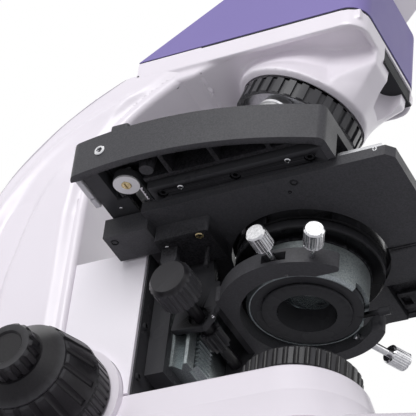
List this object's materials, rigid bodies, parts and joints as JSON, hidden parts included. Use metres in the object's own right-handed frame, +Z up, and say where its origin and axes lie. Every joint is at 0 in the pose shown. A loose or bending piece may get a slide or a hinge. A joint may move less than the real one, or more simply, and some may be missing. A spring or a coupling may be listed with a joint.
{
  "type": "binocular microscope",
  "caption": "Binocular microscope with an arched arm, reversed nosepiece, belt-driven stage, focusing condenser and coaxial focus knobs.",
  "frame": {"origin": "on the bench plane, under the middle of the object's bounding box", "axes": "+Z up along the optical axis, -Y towards the user, +Y towards the arm, +X to the user's right"},
  "size_m": [0.2018, 0.316, 0.4631],
  "materials": {
    "belt_black": "cord-reinforced belt",
    "bright_steel": "polished and knurled",
    "frame_black": "semi-gloss black",
    "ground_steel": "finely ground",
    "knob_black": "moulded black, satin",
    "lavender_enamel": "satin blue-violet enamel",
    "optical_glass": "coated optical glass",
    "rubber": "matt rubber",
    "side_plate_white": "smooth satin white",
    "soft_black": "matt black",
    "stage_black": "satin black enamel with a fine grain",
    "turret_metal": "satin turned aluminium",
    "white_enamel": "fine satin enamel, very slightly cool white",
    "zinc": "machined die-cast zinc"
  },
  "bodies": {
    "stand": {"base_casting": "white_enamel", "base_plate": "stage_black", "rubber_feet": "rubber", "power_inlet": "soft_black", "lamp_module": "turret_metal", "field_lens_mount": "frame_black", "field_lens": "optical_glass", "arm_casting": "white_enamel", "arm_cover": "lavender_enamel", "housing_side_plates": "side_plate_white", "focus_guide_frame": "frame_black", "nosepiece_mount": "turret_metal"},
    "mains_switch": {"power_switch": "soft_black"},
    "brightness_dial": {"brightness_knob": "knob_black"},
    "field_ring": {"field_diaphragm_ring": "knob_black"},
    "nose_filter_slider": {"nose_slider": "soft_black"},
    "coarse_drive": {"coarse_focus_knobs": "knob_black"},
    "fine_drive": {"fine_focus_knobs": "knob_black"},
    "tension_ring": {"tension_collar": "knob_black"},
    "stop_ring": {"focus_stop_collar": "knob_black"},
    "focusing_stage": {"stage_carrier": "frame_black", "stage_bracket": "stage_black", "condenser_dovetail": "zinc", "stage_plate": "stage_black", "stage_rails": "ground_steel"},
    "mechanical_stage": {"stage_casting": "stage_black", "guide_strips": "frame_black", "x_guide_rail": "frame_black", "drive_belt": "belt_black", "stage_drive_housing": "stage_black"},
    "pulley_left": {"belt_pulley_left": "turret_metal"},
    "pulley_right": {"belt_pulley_right": "turret_metal"},
    "y_knob": {"y_travel_knob": "knob_black"},
    "x_knob": {"x_travel_knob": "knob_black"},
    "slide_holder": {"specimen_holder": "stage_black"},
    "slide_clip": {"specimen_clip": "ground_steel"},
    "condenser": {"condenser_carriage": "frame_black", "condenser_fork": "stage_black", "condenser_ring": "zinc", "condenser_body": "frame_black", "condenser_lenses": "optical_glass", "condenser_lower_ring": "frame_black"},
    "condenser_drive": {"condenser_knob": "knob_black"},
    "iris_ring": {"iris_lever": "frame_black"},
    "centring_left": {"centring_screw_left": "bright_steel"},
    "centring_right": {"centring_screw_right": "bright_steel"},
    "condenser_clamp": {"condenser_clamp_screw": "bright_steel"},
    "nosepiece": {"nosepiece_turret": "turret_metal", "turret_grip_ring": "knob_black", "objective_4x": "turret_metal", "objective_10x": "turret_metal", "objective_40x": "turret_metal", "objective_100x": "turret_metal"},
    "head": {"head_housing": "white_enamel"},
    "head_lock": {"head_lock_screw": "bright_steel"},
    "left_tube": {"eyetube_left": "white_enamel", "eyepiece_left": "soft_black"},
    "right_tube": {"eyetube_right": "white_enamel", "eyepiece_right": "soft_black"},
    "dioptre": {"dioptre_ring": "knob_black"}
  },
  "joints": [
    {"name": "mains_switch_rock", "type": "hinge", "parent": "stand", "child": "mains_switch", "pos_m": [-0.034, 0.13, 0.046], "axis": [0, 0, 1], "range_deg": [-6, 6]},
    {"name": "brightness_turn", "type": "hinge", "parent": "stand", "child": "brightness_dial", "pos_m": [0.038, 0.132, 0.05], "axis": [1, 0, 0], "range_deg": [-135, 135]},
    {"name": "field_diaphragm_turn", "type": "hinge", "parent": "stand", "child": "field_ring", "pos_m": [0, -0.034, 0.07], "axis": [0, 0, 1], "range_deg": [-45, 45]},
    {"name": "nose_slider_pull", "type": "slide", "parent": "stand", "child": "nose_filter_slider", "axis": [0, -1, 0], "range_m": [0, 0.01]},
    {"name": "stage_travel", "type": "slide", "parent": "stand", "child": "focusing_stage", "axis": [0, 0, 1], "range_m": [-0.005, 0.0139]},
    {"name": "coarse_turn", "type": "hinge", "parent": "stand", "child": "coarse_drive", "pos_m": [0, 0.079, 0.06], "axis": [1, 0, 0], "range_deg": [-100.1, 36.3]},
    {"name": "fine_turn", "type": "hinge", "parent": "stand", "child": "fine_drive", "pos_m": [0, 0.079, 0.06], "axis": [1, 0, 0], "continuous": true},
    {"name": "tension_turn", "type": "hinge", "parent": "stand", "child": "tension_ring", "pos_m": [-0.046, 0.079, 0.06], "axis": [1, 0, 0], "range_deg": [-40, 40]},
    {"name": "focus_stop_turn", "type": "hinge", "parent": "stand", "child": "stop_ring", "pos_m": [0.046, 0.079, 0.06], "axis": [1, 0, 0], "range_deg": [-90, 90]},
    {"name": "stage_y_travel", "type": "slide", "parent": "focusing_stage", "child": "mechanical_stage", "axis": [0, 1, 0], "range_m": [-0.03, 0.017]},
    {"name": "stage_x_travel", "type": "slide", "parent": "mechanical_stage", "child": "slide_holder", "axis": [1, 0, 0], "range_m": [-0.038, 0.038]},
    {"name": "pulley_left_turn", "type": "hinge", "parent": "mechanical_stage", "child": "pulley_left", "pos_m": [-0.077, 0.0345, 0.163], "axis": [0, 0, 1], "range_deg": [-330.4, 330.4]},
    {"name": "pulley_right_turn", "type": "hinge", "parent": "mechanical_stage", "child": "pulley_right", "pos_m": [0.077, 0.0345, 0.163], "axis": [0, 0, 1], "range_deg": [-330.4, 330.4]},
    {"name": "y_knob_turn", "type": "hinge", "parent": "mechanical_stage", "child": "y_knob", "pos_m": [0.079, -0.08, 0.122], "axis": [0, 0, 1], "range_deg": [-270.5, 153.5]},
    {"name": "x_knob_turn", "type": "hinge", "parent": "mechanical_stage", "child": "x_knob", "pos_m": [0.079, -0.08, 0.1], "axis": [0, 0, 1], "range_deg": [-456.5, 456.5]},
    {"name": "slide_clip_swing", "type": "hinge", "parent": "slide_holder", "child": "slide_clip", "pos_m": [-0.039, -0.013, 0.181], "axis": [0, 0, 1], "range_deg": [-25, 0], "stiffness_Nm_per_rad": 0.02},
    {"name": "condenser_travel", "type": "slide", "parent": "focusing_stage", "child": "condenser", "axis": [0, 0, 1], "range_m": [-0.016, 0.0006]},
    {"name": "condenser_knob_turn", "type": "hinge", "parent": "condenser", "child": "condenser_drive", "pos_m": [0, 0.0145, 0.1105], "axis": [1, 0, 0], "range_deg": [-7.4, 183.8]},
    {"name": "iris_turn", "type": "hinge", "parent": "condenser", "child": "iris_ring", "pos_m": [0, -0.034, 0.121], "axis": [0, 0, 1], "range_deg": [-32, 5]},
    {"name": "centring_left_turn", "type": "hinge", "parent": "condenser", "child": "centring_left", "pos_m": [0, -0.034, 0.12], "axis": [-0.891, -0.454, 0], "range_deg": [-180, 180]},
    {"name": "centring_right_turn", "type": "hinge", "parent": "condenser", "child": "centring_right", "pos_m": [0, -0.034, 0.12], "axis": [0.891, -0.454, 0], "range_deg": [-180, 180]},
    {"name": "condenser_clamp_turn", "type": "hinge", "parent": "condenser", "child": "condenser_clamp", "pos_m": [0, -0.0355, 0.12], "axis": [-1, 0, 0], "range_deg": [-180, 180]},
    {"name": "nosepiece_turn", "type": "hinge", "parent": "stand", "child": "nosepiece", "pos_m": [0, -0.034, 0.2836], "axis": [0, -0.3746, 0.9272], "continuous": true},
    {"name": "head_turn", "type": "hinge", "parent": "stand", "child": "head", "pos_m": [0, -0.034, 0.33], "axis": [0, 0, 1], "continuous": true},
    {"name": "head_lock_turn", "type": "hinge", "parent": "stand", "child": "head_lock", "pos_m": [0.035, -0.034, 0.333], "axis": [1, 0, 0], "range_deg": [-180, 180]},
    {"name": "left_tube_swing", "type": "hinge", "parent": "head", "child": "left_tube", "pos_m": [0, -0.07037, 0.391], "axis": [0, -0.866, 0.5], "range_deg": [-16.3, 23.3]},
    {"name": "right_tube_swing", "type": "hinge", "parent": "head", "child": "right_tube", "pos_m": [0, -0.07037, 0.391], "axis": [0, -0.866, 0.5], "range_deg": [-23.4, 16.4]},
    {"name": "dioptre_turn", "type": "hinge", "parent": "left_tube", "child": "dioptre", "pos_m": [-0.032, -0.06013, 0.40875], "axis": [0, -0.866, 0.5], "range_deg": [-60, 60]}
  ],
  "couplings": [
    {"joint": "coarse_turn", "follows": "stage_travel", "rad_per_m": -125},
    {"joint": "condenser_knob_turn", "follows": "condenser_travel", "rad_per_m": -200},
    {"joint": "pulley_left_turn", "follows": "stage_x_travel", "rad_per_m": -151.52},
    {"joint": "pulley_right_turn", "follows": "stage_x_travel", "rad_per_m": -151.52},
    {"joint": "x_knob_turn", "follows": "stage_x_travel", "rad_per_m": -209.44},
    {"joint": "y_knob_turn", "follows": "stage_y_travel", "rad_per_m": 157.08},
    {"joint": "right_tube_swing", "follows": "left_tube_swing", "ratio": -1}
  ]
}
